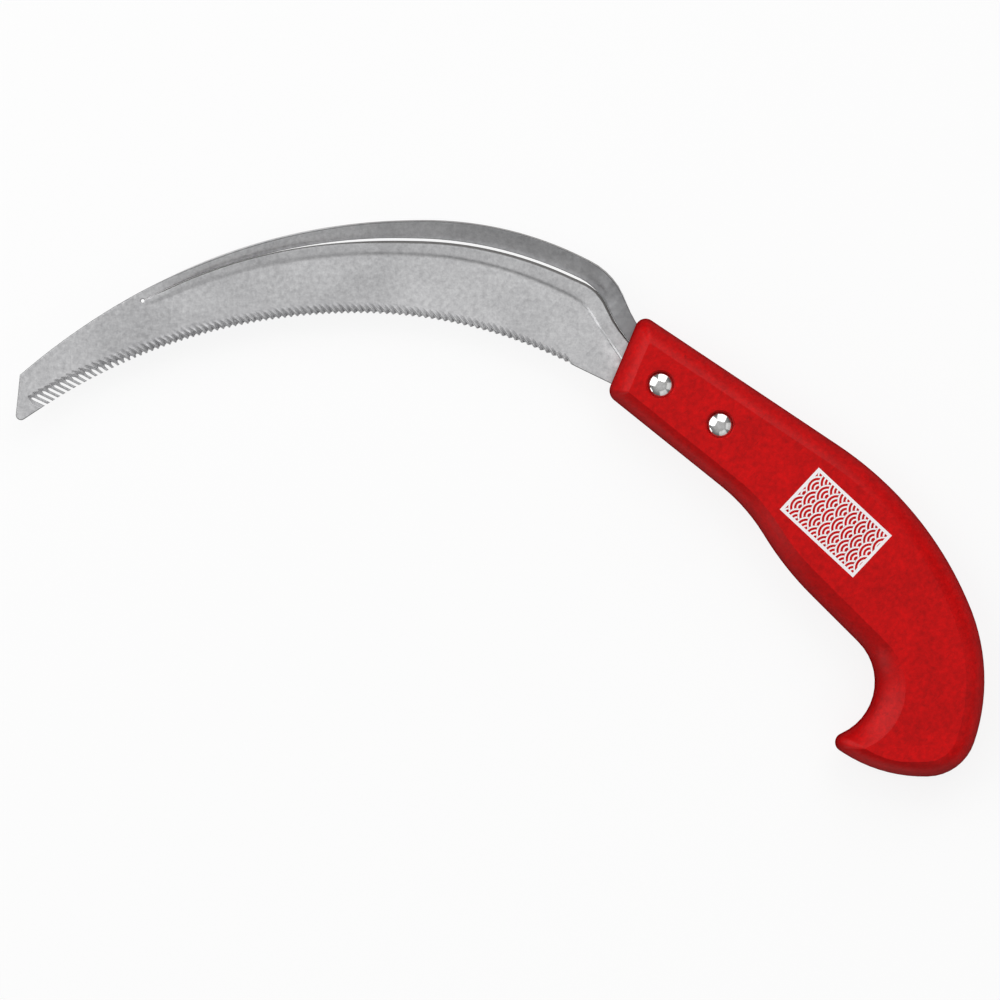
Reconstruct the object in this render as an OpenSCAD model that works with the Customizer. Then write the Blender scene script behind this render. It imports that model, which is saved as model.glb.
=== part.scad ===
// Serrated sickle: a stamped sheet-steel blade with slanted ground teeth and a
// pressed slit along its back, seated in the sawn slot of a wooden pistol
// handle and held there by two two-piece rivets.
// The sickle lies on its side. +Z points up from the table, the blade points
// to -X and the toothed edge faces -Y. The origin is on the handle's lower
// flat face, midway between the rivets. All sizes are millimetres.

/* [Blade outline] */
// From the nose to the middle of the rivets, along X
blade_reach = 208; // [185:1:225]
// Height of the arched back above the middle of the rivets
back_rise = 57; // [52:0.5:62]
// Height of the toothed edge's arch above the middle of the rivets
edge_rise = 28.2; // [25:0.2:32]
// Length of the blunt nose, down from its upper corner
nose_drop = 15.6; // [13:0.1:18]
// Radius of the nose's lower corner
nose_r = 1.6; // [1:0.1:3]
// Thickness of the sheet
sheet_t = 1; // [0.8:0.1:1.4]

/* [Teeth] */
// Spacing of the teeth at the nose
pitch_nose = 1.9; // [1.7:0.02:2.4]
// Spacing of the teeth at the heel
pitch_heel = 2.13; // [1.9:0.01:2.6]
// Length of a ground groove at the nose
groove_nose = 5.4; // [4.8:0.1:6]
// Length of a ground groove at the heel
groove_heel = 2.4; // [2:0.1:3]
// How far a groove cuts right through at the nose
notch_nose = 3.9; // [2.6:0.1:4.2]
// How far a groove cuts right through at the heel
notch_heel = 1; // [0.5:0.1:1.4]
// Direction of the first groove, below the X axis
slant_nose = 31; // [20:1:45]
// Direction of the last groove, below the X axis
slant_heel = 66; // [55:1:75]
// Angle between the two walls of a groove
groove_angle = 100; // [80:2:110]
// Width of a groove's floor
groove_floor = 0.1; // [0.05:0.05:0.3]
// How far a groove's floor runs below the sheet's lower face
cut_below = 0.3; // [0.2:0.05:0.4]
// Plain edge between the last tooth and the handle
plain_heel = 14; // [8:0.5:20]

/* [Pressed slit] */
// Along the back from the nose's upper corner to the stop hole
slit_start = 44.8; // [35:0.1:60]
// Diameter of the stop hole
stop_hole_d = 1.2; // [0.8:0.1:2]
// Distance of the slit from the back at the stop hole
slit_in_start = 2.8; // [2.4:0.1:3.2]
// Distance of the slit from the back at the handle
slit_in_end = 5; // [4.5:0.1:6]
// Distance of the crease from the back at the stop hole
crease_in_start = 4.6; // [4.4:0.1:5.4]
// Distance of the crease from the back at the handle
crease_in_end = 11.4; // [11:0.1:13]
// Pull of the slit's curve away from the back, at the stop hole
slit_bow_start = 0.5; // [0:0.1:1]
// Pull of the slit's curve away from the back, at the handle
slit_bow_end = 5; // [4:0.1:5.5]
// Pull of the crease's curve away from the back, at the stop hole
crease_bow_start = 2.9; // [2.5:0.1:4]
// Pull of the crease's curve away from the back, at the handle
crease_bow_end = 3.6; // [3:0.1:4.2]
// Clear width of the slit where it is fully open
slit_gap = 0.85; // [0.5:0.05:1.2]
// Width of the slit where the sheet is only sheared
shear_gap = 0.06; // [0.05:0.01:0.15]
// From the stop hole to where the slit starts to open
sheared_in = 37; // [25:1:45]
// Length over which the slit opens
opens_over = 45; // [30:1:55]
// Length over which the slit closes again
closes_over = 12; // [8:1:20]
// From there to the handle
sheared_out = 17; // [10:1:25]
// Tilt of the strip between the back and the slit
spine_tilt = 28; // [10:1:32]
// Tilt of the lip between the slit and the crease
lip_tilt = 8; // [2:1:12]
// How far the lip's sheared edge leans back at its top
lip_lean = 0.3; // [0.1:0.05:0.4]
// Height of the step at the crease
step_rise = 0.6; // [0.3:0.05:0.8]
// Width of the step at the crease
step_w = 0.9; // [0.6:0.05:1.1]
// Length over which the step grows from the stop hole
step_in = 12; // [8:1:40]
// Length over which the step fades at the handle
step_out = 7; // [5:1:20]
// Length over which the tilts grow from the stop hole
tilt_in = 26; // [20:1:60]
// Length over which the tilts fade towards the handle
tilt_out = 20; // [15:1:40]
// Half width of the soft bends beside the step
crease_soft = 0.4; // [0.3:0.05:0.6]
// How far the slit runs on inside the handle
slit_hidden = 3; // [1:0.5:5]

/* [Tang] */
// From the middle of the rivets to the end of the tang
tang_end = 22; // [19:0.5:26]
// From the line through the rivets to the tang's upper side
tang_above = 8.8; // [8:0.1:10]
// From the line through the rivets to the tang's lower side
tang_below = 7.6; // [7:0.1:8]
// Radius of the tang's corners
tang_r = 4; // [2:0.5:6]

/* [Handle] */
// Drop of the line through the rivets, below the X axis
handle_drop = 34; // [30:0.5:38]
// Thickness between the two flat faces
handle_t = 20; // [18:0.5:24]
// From the line through the rivets to the handle's upper side
neck_above = 15.1; // [14:0.1:17]
// From the line through the rivets to the front end's lower corner
neck_below = 11.6; // [11:0.1:13]
// From the middle of the rivets to the front end's lower corner
front_low = 23.2; // [22:0.1:26]
// From the middle of the rivets to the front end's upper corner
front_high = 28.5; // [27:0.5:31]
// From the middle of the rivets to the furthest corner of the butt
butt_reach = 134.5; // [125:0.5:142]
// From the line through the rivets down to the hook's corner
hook_drop = 63; // [60:0.5:68]
// Radius of the finger hollow above the hook
hollow_r = 17.5; // [15:0.5:20]
// Radius of the hook's tip
hook_r = 3; // [2:0.5:5]
// Radius of the front end's corners
front_r = 3.2; // [2:0.2:5]
// Height of the chamfers, down from each flat face
chamfer_drop = 4.6; // [3:0.1:6]
// Length of the round-over between the chamfers and the sides
side_soft = 3; // [2:0.1:4]
// Clearance of the sawn slot on each side of the sheet
slot_clear = 0.1; // [0.05:0.05:0.2]
// Clearance between the end of the tang and the end of the slot
slot_end_clear = 1; // [0.5:0.5:3]

/* [Rivets] */
// Distance between the two rivets
rivet_spacing = 22.2; // [20:0.2:26]
// Diameter of a rivet's head
head_d = 8; // [7:0.1:9]
// Height of a head's dome
dome_h = 0.9; // [0.6:0.1:1.5]
// Thickness of a head's rim, below the dome
rim_t = 0.4; // [0.3:0.1:1]
// How far a head's crown lies below the flat face
crown_sunk = 0.1; // [0.1:0.05:0.4]
// Clearance round a head in its pocket
pocket_clear = 0.1; // [0.1:0.05:0.4]
// Chamfer round the mouth of a head's pocket
pocket_soft = 0.5; // [0.2:0.1:0.7]
// Diameter of the solid shank
shank_d = 3.2; // [2.8:0.1:3.6]
// Wall of the tube that the shank is driven into
tube_wall = 0.8; // [0.6:0.1:1]
// Clearance between the shank and the tube
shank_clear = 0.05; // [0.02:0.01:0.1]
// Clearance round the tube in the wood and in the tang
bore_clear = 0.1; // [0.05:0.05:0.3]
// Clearance at the far end of the shank and of the tube
rivet_end_clear = 0.5; // [0.3:0.1:1]

/* [Hidden] */
$fn = 96;

// Finest chord and steepest step of a drawn arc
arc_chord = 3.2;
arc_step = 9;
// Spacing of the sections along the pressed slit
section_step = 3;
// Depth to which the pressed strips are let into the flat sheet
strip_root = 0.4;

mid_z = handle_t / 2;
pocket_depth = crown_sunk + dome_h + rim_t;
tube_bore = shank_d + 2 * shank_clear;
tube_d = tube_bore + 2 * tube_wall;
bore_d = tube_d + 2 * bore_clear;
dome_r = (head_d * head_d / 4 + dome_h * dome_h) / (2 * dome_h);

// Plane geometry

function turned(p, a) = [p.x * cos(a) - p.y * sin(a), p.x * sin(a) + p.y * cos(a)];
// A point given along and above the line through the rivets, in the part's frame
function from_handle(p) = turned([p.x, p.y], -handle_drop);
function left_of(v) = [-v.y, v.x] / norm(v);
function bezier3(a, b, c, t) = (1 - t) * (1 - t) * a + 2 * t * (1 - t) * b + t * t * c;
function bezier4(a, b, c, d, t) = bezier3(a, b, c, t) * (1 - t) + bezier3(b, c, d, t) * t;
function soft_corner(a, b, c, n) = [for (k = [0:n]) bezier3(a, b, c, k / n)];
function ramp(x) = let (t = min(1, max(0, x))) t * t * (3 - 2 * t);

// Outlines with round corners. A corner is [x, y, radius] and its arc touches
// both sides that meet there. Neighbouring arcs that would cross are both
// drawn smaller. The ends of an open line stay sharp.

function before(c, i) = c[(i + len(c) - 1) % len(c)];
function after(c, i) = c[(i + 1) % len(c)];
function xy(p) = [p.x, p.y];
function bend(c, i) =
    let (u = xy(c[i]) - xy(before(c, i)), v = xy(after(c, i)) - xy(c[i]))
    atan2(u.x * v.y - u.y * v.x, u * v);
function wanted_cut(c, i) = c[i].z * tan(abs(bend(c, i)) / 2);
function room(c, i) =
    norm(xy(after(c, i)) - xy(c[i])) / max(0.001, wanted_cut(c, i) + wanted_cut(c, (i + 1) % len(c)));
function fitted_r(c, i) = c[i].z * min(1, room(c, i), room(c, (i + len(c) - 1) % len(c)));
function arc_parts(c, i) = max(2, ceil(abs(bend(c, i)) / arc_step), ceil(abs(bend(c, i)) * c[i].z * PI / 180 / arc_chord));
function corner_points(c, i, r, parts) =
    let (
        u = (xy(c[i]) - xy(before(c, i))) / norm(xy(c[i]) - xy(before(c, i))),
        a = bend(c, i),
        start = xy(c[i]) - u * r * tan(abs(a) / 2),
        centre = start + left_of(u) * r * sign(a)
    )
    [for (k = [0:parts]) centre + turned(start - centre, a * k / parts)];
// Every outline is drawn with as many points as the outline it was made from
function outline(c, made_from = undef) =
    let (base = made_from == undef ? c : made_from)
    [for (i = [0:len(c) - 1])
        each c[i].z == 0 ? [xy(c[i])] : corner_points(c, i, fitted_r(c, i), arc_parts(base, i))];
// The same corners with each side moved in by its own distance
function moved_in(c, d) =
    [for (i = [0:len(c) - 1])
        let (
            n1 = left_of(xy(c[i]) - xy(before(c, i))),
            n2 = left_of(xy(after(c, i)) - xy(c[i])),
            d1 = before(d, i),
            d2 = d[i],
            cross_n = n1.x * n2.y - n1.y * n2.x,
            p = xy(c[i]) + [d1 * n2.y - d2 * n1.y, n1.x * d2 - n2.x * d1] / cross_n
        )
        [p.x, p.y, max(0.6, c[i].z - sign(bend(c, i)) * (d1 + d2) / 2)]];

// Distances along a line of points
function lengths(p) =
    [for (i = 0, s = 0; i < len(p); i = i + 1, s = s + (i < len(p) ? norm(p[i] - p[i - 1]) : 0)) s];
function x_table(p) = let (s = lengths(p)) [for (i = [0:len(p) - 1]) [s[i], p[i].x]];
function y_table(p) = let (s = lengths(p)) [for (i = [0:len(p) - 1]) [s[i], p[i].y]];

// Faces that close a ring which runs out along one side of the sheet and back
// along the other. They are drawn from rung to rung, so none is a sliver.
function ladder(n) =
    [for (k = [0:n / 2 - 2]) each [[k, k + 1, n - 1 - k], [k + 1, n - 2 - k, n - 1 - k]]];
function reversed(f) = [f.z, f.y, f.x];
function shifted(f, by) = [for (k = f) k + by];

// A strip of bent sheet through a row of rings, each drawn anticlockwise as
// seen from the last ring
module strip(rings) {
    n = len(rings[0]);
    sides = [for (i = [0:len(rings) - 2], k = [0:n - 1])
        let (a = i * n + k, b = a + n, d = i * n + (k + 1) % n, c = d + n)
        each [[a, b, c], [a, c, d]]];
    first = ladder(n);
    last = [for (f = ladder(n)) shifted(reversed(f), (len(rings) - 1) * n)];
    polyhedron(points = [for (r = rings) each r], faces = concat(first, sides, last), convexity = 8);
}

// A solid through a row of flat rings, each drawn anticlockwise as seen from the
// last ring
module skin(rings) {
    n = len(rings[0]);
    sides = [for (i = [0:len(rings) - 2], k = [0:n - 1])
        [i * n + k, (i + 1) * n + k, (i + 1) * n + (k + 1) % n, i * n + (k + 1) % n]];
    first = [for (k = [0:n - 1]) k];
    last = [for (k = [n - 1:-1:0]) (len(rings) - 1) * n + k];
    polyhedron(points = [for (r = rings) each r], faces = concat([first], sides, [last]), convexity = 8);
}

// Blade outline. The corners run clockwise from the nose along the back.

nose_top = [-blade_reach + 0.1, back_rise - 47.65];
nose_foot = [-blade_reach - 1.5, nose_top.y - nose_drop, nose_r];
edge_start = [-blade_reach + 7.4, nose_top.y - nose_drop + 5.85];
back_corners = [
    [nose_top.x, nose_top.y, 0],
    [-blade_reach + 21.4, back_rise - 29.4, 210],
    [-127, back_rise - 0.5, 177],
    [-57, back_rise + 1, 110],
    [-22.8, 40.7, 22.5]
];
// The back runs down into the slot and ends along the tang
tang_corners = [
    [-25.1, tang_above, 35],
    [tang_end, tang_above, tang_r],
    [tang_end, -tang_below, tang_r],
    [-16, -tang_below, 15]
];
heel = [-24.1, 6.5, 0];
edge_corners = [
    [-68.8, edge_rise, 145],
    [-blade_reach + 53.7, edge_rise + 0.9, 178],
    [edge_start.x, edge_start.y, 0]
];
function placed(c) = [for (p = c) let (q = from_handle(p)) [q.x, q.y, p.z]];

blade_outline = outline(concat(back_corners, placed(tang_corners), [heel], edge_corners, [nose_foot]));
outline_s = lengths(blade_outline);
outline_x = x_table(blade_outline);
outline_y = y_table(blade_outline);
// A point of the back, counted from the nose's upper corner
function back_at(s) = [lookup(s, outline_x), lookup(s, outline_y)];
function inward(s) = -left_of(back_at(s + 1.5) - back_at(s - 1.5));

edge_line = outline(concat([heel], edge_corners));
edge_x = x_table(edge_line);
edge_y = y_table(edge_line);
edge_length = lengths(edge_line)[len(edge_line) - 1];
// A point of the toothed edge, counted from the nose
function edge_at(s) = [lookup(edge_length - s, edge_x), lookup(edge_length - s, edge_y)];

// The back meets the handle's front end at this distance from the nose
front_u = [-front_high, neck_above] - [-front_low, -neck_below];
function past_front(p) =
    let (q = turned(p, handle_drop) - [-front_low, -neck_below]) front_u.y * q.x - front_u.x * q.y > 0;
back_at_handle = min([for (i = [0:len(blade_outline) - 1]) if (past_front(blade_outline[i])) outline_s[i]]);

// Pressed slit, as sections square to the back

slit_end = back_at_handle + slit_hidden;
slit_length = slit_end - slit_start;
function slit_share(s) = (s - slit_start) / slit_length;
function slit_in(s) =
    bezier4(slit_in_start, slit_in_start + slit_bow_start, slit_in_end + slit_bow_end, slit_in_end, slit_share(s));
function crease_in(s) =
    bezier4(crease_in_start, crease_in_start + crease_bow_start, crease_in_end + crease_bow_end, crease_in_end, slit_share(s));
function root_in(s) = crease_in(s) + step_w / 2 + crease_soft;
function press(s) = ramp((s - slit_start) / tilt_in) * ramp((back_at_handle - s) / tilt_out);
function step_press(s) = ramp((s - slit_start) / step_in) * ramp((back_at_handle - s) / step_out);
function gap_at(s) =
    shear_gap + (slit_gap - shear_gap) * ramp((s - slit_start - sheared_in) / opens_over)
        * ramp((back_at_handle - sheared_out - s) / closes_over);
// A point of a section: distance in from the back and height above the sheet's middle
function section_point(s, w, z) = let (p = back_at(s) + inward(s) * w) [p.x, p.y, mid_z + z];

function spine_section(s) =
    let (
        a = spine_tilt * press(s),
        far = slit_in(s) - gap_at(s) / 2,
        across = far - sheet_t * sin(a),
        low = across * tan(a) / 2 - sheet_t * cos(a) / 2
    )
    [
        section_point(s, sheet_t * sin(a), low + sheet_t * cos(a)),
        section_point(s, far, low - across * tan(a) + sheet_t * cos(a)),
        section_point(s, across, low - across * tan(a)),
        section_point(s, 0, low)
    ];
// The lip's line from the slit to the flat sheet: nearly level, then a short step down
function lip_line(s, near) =
    let (
        crown = [crease_in(s) - step_w / 2, step_rise * step_press(s)],
        foot = [crease_in(s) + step_w / 2, 0],
        slope = tan(lip_tilt * press(s)),
        lead = min(crease_soft, (crown.x - near) / 2)
    )
    concat(
        [[near, crown.y + (crown.x - near) * slope]],
        soft_corner(crown + lead * [-1, slope], crown, crown + (foot - crown) * 0.4, 3),
        soft_corner(foot + (crown - foot) * 0.4, foot, [root_in(s), 0], 3)
    );
function lip_section(s) =
    let (
        near = slit_in(s) + gap_at(s) / 2,
        line = lip_line(s, near),
        last = len(line) - 1,
        half = sheet_t / 2,
        lean = lip_lean * step_press(s),
        slope = tan(lip_tilt * press(s))
    )
    [
        section_point(s, near + lean, line[0].y - lean * slope + half),
        for (i = [1:last]) section_point(s, line[i].x, line[i].y + half),
        section_point(s, root_in(s) + strip_root, half),
        section_point(s, root_in(s) + strip_root, -half),
        for (i = [last:-1:1]) section_point(s, line[i].x, line[i].y - half),
        section_point(s, near, line[0].y - half)
    ];

sections = ceil(slit_length / section_step);
function section_at(i) = slit_start + slit_length * i / sections;
strip_start = slit_start - strip_root;
strip_end = slit_end + strip_root;
strip_rows = concat([strip_start], [for (i = [0:sections]) section_at(i)], [strip_end]);

// Plan of a section, from the back over both strips to the flat sheet
function row_points(s) =
    let (spine = spine_section(s), lip = lip_section(s))
    [xy(spine[0]), xy(spine[1]), for (i = [0:len(lip) / 2 - 2]) xy(lip[i])];
row_at_hole = row_points(slit_start);
row_in_handle = row_points(slit_end);

// The flat part of the sheet keeps clear of the two pressed strips, and shares
// every point of their first and last sections
flat_outline = concat(
    [for (i = [0:len(blade_outline) - 1]) if (outline_s[i] < strip_start) blade_outline[i]],
    [back_at(strip_start)],
    row_at_hole,
    [for (i = [1:sections - 1]) let (s = section_at(i)) back_at(s) + inward(s) * root_in(s)],
    [for (i = [len(row_in_handle) - 1:-1:0]) row_in_handle[i]],
    [back_at(strip_end)],
    [for (i = [0:len(blade_outline) - 1]) if (outline_s[i] > strip_end) blade_outline[i]]
);

// Teeth

toothed = edge_length - plain_heel;
tooth_count = floor(toothed * 3 / (2 * pitch_nose + pitch_heel));
function tooth_s(i) =
    let (f = (i + 0.5) / tooth_count)
    tooth_count * f * (pitch_nose + (pitch_heel - pitch_nose) * f * f / 3);
function eased(f) = 1 - (1 - f) * (1 - f);
function steeply_eased(f) = 1 - pow(1 - f, 3);

// A wedge with a narrow floor, along X from the origin
module grinding_wedge(long) {
    floor_w = groove_floor / 2;
    wall_h = 5;
    wall_w = floor_w + wall_h * tan(groove_angle / 2);
    rotate([90, 0, 90])
        linear_extrude(height = long)
        polygon([[-floor_w, 0], [floor_w, 0], [wall_w, wall_h], [-wall_w, wall_h]]);
}

// A ground groove. It ramps down from the sheet's upper face, then runs on
// level just under the lower face and out through the toothed edge at p.
module groove(p, slant, long, notch) {
    fall = atan(sheet_t / (long - notch));
    run_up = 0.5;
    run_out = 2.5;
    translate([p.x - long * cos(slant), p.y + long * sin(slant), mid_z + sheet_t / 2])
        rotate([0, 0, -slant])
        intersection() {
            rotate([0, fall, 0])
                translate([-run_up, 0, 0])
                grinding_wedge(run_up + (long + run_out) / cos(fall));
            translate([-2 * run_up, 0, -sheet_t - cut_below])
                grinding_wedge(2 * run_up + long + run_out);
        }
}

// Every second groove, because neighbours run into each other at their tops
module grooves(first) {
    for (i = [first:2:tooth_count - 1]) {
        f = i / (tooth_count - 1);
        groove(
            edge_at(tooth_s(i)),
            slant_nose + (slant_heel - slant_nose) * eased(f),
            groove_nose + (groove_heel - groove_nose) * f,
            notch_nose + (notch_heel - notch_nose) * steeply_eased(f)
        );
    }
}

// Places along the line through the rivets

module at_front_rivet() {
    translate(from_handle([-rivet_spacing / 2, 0])) children();
}

module at_rear_rivet() {
    translate(from_handle([rivet_spacing / 2, 0])) children();
}

module at_rivets() {
    at_front_rivet() children();
    at_rear_rivet() children();
}

module flat_sheet() {
    translate([0, 0, mid_z - sheet_t / 2])
        linear_extrude(height = sheet_t)
        polygon(flat_outline);
}

module stop_hole() {
    hole = section_point(slit_start, slit_in_start, 0);
    translate([hole.x, hole.y, mid_z - sheet_t])
        cylinder(d = stop_hole_d, h = 2 * sheet_t);
}

// One stamped sheet: flat body, tang and teeth, with the two strips beside the
// slit pressed out of its plane
module blade() {
    color("#b4b4b6")
    difference() {
        difference() {
            union() {
                flat_sheet();
                strip([for (s = strip_rows) spine_section(s)]);
                strip([for (s = strip_rows) lip_section(s)]);
            }
            stop_hole();
            grooves(0);
        }
        grooves(1);
        at_rivets() cylinder(d = bore_d, h = handle_t);
    }
}

// Handle

// Each corner is [along, above, radius], measured from the middle of the
// rivets, anticlockwise from the front end's lower corner
handle_corners = [
    [-front_low, -neck_below, front_r + 0.6],
    [32, -neck_below - 4.6, 58],
    [53, -neck_below - 14, 99],
    [109.5, -hook_drop + 26.5, hollow_r],
    [93, -hook_drop, hook_r],
    [butt_reach - 20.5, -hook_drop + 0.5, 46],
    [butt_reach, -hook_drop + 15, 15.5],
    [butt_reach - 9, -15, 60],
    [77.5, neck_above + 0.45, 110],
    [-front_high, neck_above, front_r]
];
// Width of the chamfer along the side that follows each corner
chamfer_widths = [4.4, 5, 5.6, 6.6, 4.6, 4.6, 5.6, 6, 6, 5.6];

rim = outline(handle_corners);
face = outline(moved_in(handle_corners, chamfer_widths), handle_corners);

// Profile of the rim, from the middle of the side up: share of the way in to
// the flat face, and height below that face
face_soft = 0.1;
profile = concat(
    soft_corner([0, chamfer_drop + side_soft], [0, chamfer_drop], [0.32, chamfer_drop * 0.68], 4),
    [[1 - face_soft, chamfer_drop * face_soft], [1 + face_soft / 2, 0], [1 + face_soft, -0.1]]
);
function handle_ring(share, z) =
    [for (i = [0:len(rim) - 1]) let (p = from_handle(rim[i] + (face[i] - rim[i]) * share)) [p.x, p.y, z]];

module handle_block() {
    rings = concat(
        [for (k = [len(profile) - 1:-1:0]) handle_ring(profile[k].x, profile[k].y)],
        [for (q = profile) handle_ring(q.x, handle_t - q.y)]
    );
    skin(rings);
}

module flat_slab() {
    translate([-50, -150, 0]) cube([200, 200, handle_t]);
}

// The slot is sawn in from the front end, right across the handle
module sawn_slot() {
    slot_t = sheet_t + 2 * slot_clear;
    slot_half_width = 40;
    slot_front = front_high + 10;
    rotate([0, 0, -handle_drop])
        translate([-slot_front, -slot_half_width, mid_z - slot_t / 2])
        cube([slot_front + tang_end + slot_end_clear, 2 * slot_half_width, slot_t]);
}

module rivet_seat() {
    pocket_d = head_d + 2 * pocket_clear;
    mouth_d = pocket_d + 2 * (pocket_soft + 1);
    translate([0, 0, -1]) cylinder(d = bore_d, h = handle_t + 2);
    translate([0, 0, -1]) cylinder(d = pocket_d, h = pocket_depth + 1);
    translate([0, 0, -1]) cylinder(d1 = mouth_d, d2 = pocket_d, h = pocket_soft + 1);
    translate([0, 0, handle_t - pocket_depth]) cylinder(d = pocket_d, h = pocket_depth + 1);
    translate([0, 0, handle_t - pocket_soft]) cylinder(d1 = pocket_d, d2 = mouth_d, h = pocket_soft + 1);
}

module handle() {
    color("#bb161a")
    difference() {
        intersection() {
            handle_block();
            flat_slab();
        }
        sawn_slot();
        at_rivets() rivet_seat();
    }
}

// Rivets: each is a domed head with a solid shank, driven into the tube of a
// second domed head on the other side

module domed_head() {
    cylinder(d = head_d, h = rim_t);
    intersection() {
        cylinder(d = head_d, h = rim_t + dome_h);
        translate([0, 0, rim_t + dome_h - dome_r]) sphere(r = dome_r);
    }
}

module rivet_post() {
    color("#d8d8da") {
        translate([0, 0, pocket_depth]) mirror([0, 0, 1]) domed_head();
        translate([0, 0, pocket_depth - rim_t])
            cylinder(d = shank_d, h = handle_t - 2 * pocket_depth + rim_t - rivet_end_clear);
    }
}

module rivet_cap() {
    tube_h = handle_t - 2 * pocket_depth - rivet_end_clear;
    color("#d8d8da")
    translate([0, 0, handle_t - pocket_depth]) {
        domed_head();
        difference() {
            translate([0, 0, -tube_h]) cylinder(d = tube_d, h = tube_h + rim_t / 2);
            translate([0, 0, -tube_h - 1]) cylinder(d = tube_bore, h = tube_h + 1);
        }
    }
}

module front_rivet_post() {
    at_front_rivet() rivet_post();
}

module front_rivet_cap() {
    at_front_rivet() rivet_cap();
}

module rear_rivet_post() {
    at_rear_rivet() rivet_post();
}

module rear_rivet_cap() {
    at_rear_rivet() rivet_cap();
}

blade();
handle();
front_rivet_post();
front_rivet_cap();
rear_rivet_post();
rear_rivet_cap();
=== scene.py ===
# %% [markdown]
# # A serrated sickle, from CAD part to picture
#
# A rice sickle is a thin curved sheet of steel, riveted into a red painted
# wooden handle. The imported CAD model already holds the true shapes: blade,
# handle and two rivets. This lesson gives them their looks: ground steel,
# glossy paint over wood grain, bright rivet heads and a printed panel.
# Blender's lengths are metres, so millimetres are multiplied by MM. The
# picture looks straight down on the sickle.

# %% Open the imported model
import math
import bpy
import bmesh
import numpy as np
from mathutils import Matrix, Vector
from mathutils.bvhtree import BVHTree


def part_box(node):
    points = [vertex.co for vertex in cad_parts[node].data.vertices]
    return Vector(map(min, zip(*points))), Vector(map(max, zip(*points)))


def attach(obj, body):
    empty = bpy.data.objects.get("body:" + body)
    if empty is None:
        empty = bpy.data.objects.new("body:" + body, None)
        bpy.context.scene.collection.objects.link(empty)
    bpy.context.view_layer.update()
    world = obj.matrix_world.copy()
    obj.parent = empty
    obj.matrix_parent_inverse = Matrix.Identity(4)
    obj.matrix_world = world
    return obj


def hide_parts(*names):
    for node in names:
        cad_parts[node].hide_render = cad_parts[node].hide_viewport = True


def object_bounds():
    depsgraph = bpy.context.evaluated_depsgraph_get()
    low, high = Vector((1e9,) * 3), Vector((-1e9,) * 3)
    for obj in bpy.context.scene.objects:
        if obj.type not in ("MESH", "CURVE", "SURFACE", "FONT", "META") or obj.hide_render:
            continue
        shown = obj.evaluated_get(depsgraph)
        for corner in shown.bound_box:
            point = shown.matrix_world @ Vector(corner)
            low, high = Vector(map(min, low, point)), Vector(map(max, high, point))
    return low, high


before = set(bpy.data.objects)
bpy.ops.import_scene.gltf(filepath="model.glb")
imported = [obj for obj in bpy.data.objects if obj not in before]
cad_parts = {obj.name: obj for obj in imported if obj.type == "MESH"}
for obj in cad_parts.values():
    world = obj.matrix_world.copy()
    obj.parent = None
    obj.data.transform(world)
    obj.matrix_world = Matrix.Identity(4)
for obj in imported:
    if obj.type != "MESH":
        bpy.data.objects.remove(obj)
cad_low, cad_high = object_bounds()
MM = 0.001
print("nodes:", sorted(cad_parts))
print("box, mm:", [round(v / MM, 2) for v in (*cad_low, *cad_high)])

# %% [markdown]
# ## The view
#
# The photograph was taken square to the blade, from far away: the handle
# stands nearer to the camera than the blade, and yet both keep one scale. A
# long lens high above does the same. One pixel of the photograph is 0.31 mm.

# %% Hang the camera above the sickle
PIXEL = 0.31 * MM
VIEW_X, VIEW_Y = -58.9 * MM, -29.45 * MM
VIEW_LEVEL = 14 * MM


def hang_camera(lens=350.0, sensor=36.0, pixels=1000):
    """Puts a long lens straight above the middle of the picture."""
    data = bpy.data.cameras.new("overhead_camera")
    data.lens, data.sensor_width = lens, sensor
    distance = pixels * PIXEL * lens / sensor
    camera = bpy.data.objects.new("overhead_camera", data)
    camera.location = (VIEW_X, VIEW_Y, VIEW_LEVEL + distance)
    bpy.context.scene.collection.objects.link(camera)
    bpy.context.scene.camera = camera
    print("camera", round(distance, 3), "m above the blade")


hang_camera()
bpy.context.scene.view_settings.view_transform = "Standard"

# %% [markdown]
# ## Shader sums
#
# A finish is a sum of patterns. Wiring each Math node by hand hides the idea,
# so a small class wraps an output socket. Then `1 - worn * 0.5` in Python
# adds the Math nodes for it.

# %% Wrap a socket


class Wire:
    """One output socket, which takes part in sums."""

    def __init__(self, finish, socket):
        self.finish, self.socket = finish, socket

    def math(self, operation, a, b=0.0):
        return self.finish.node("ShaderNodeMath", {"operation": operation}, {0: a, 1: b})

    def __add__(self, other):
        return self.math("ADD", self, other)

    def __sub__(self, other):
        return self.math("SUBTRACT", self, other)

    def __rsub__(self, other):
        return self.math("SUBTRACT", other, self)

    def __mul__(self, other):
        return self.math("MULTIPLY", self, other)

    def __abs__(self):
        return self.math("ABSOLUTE", self)

    __radd__, __rmul__ = __add__, __mul__

    def between(self, low, high, start=0.0, end=1.0):
        """A smooth step: start below low, end above high."""
        return self.finish.node(
            "ShaderNodeMapRange", {"interpolation_type": "SMOOTHSTEP"},
            {0: self, 1: low, 2: high, 3: start, 4: end})


# %% [markdown]
# ## One class for a material
#
# The second class holds one material. Its `node` method adds any node: its
# type, its settings, its inputs. The others are the few patterns that these
# finishes share, with all sizes in millimetres of the object itself.

# %% Wrap a material


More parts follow.
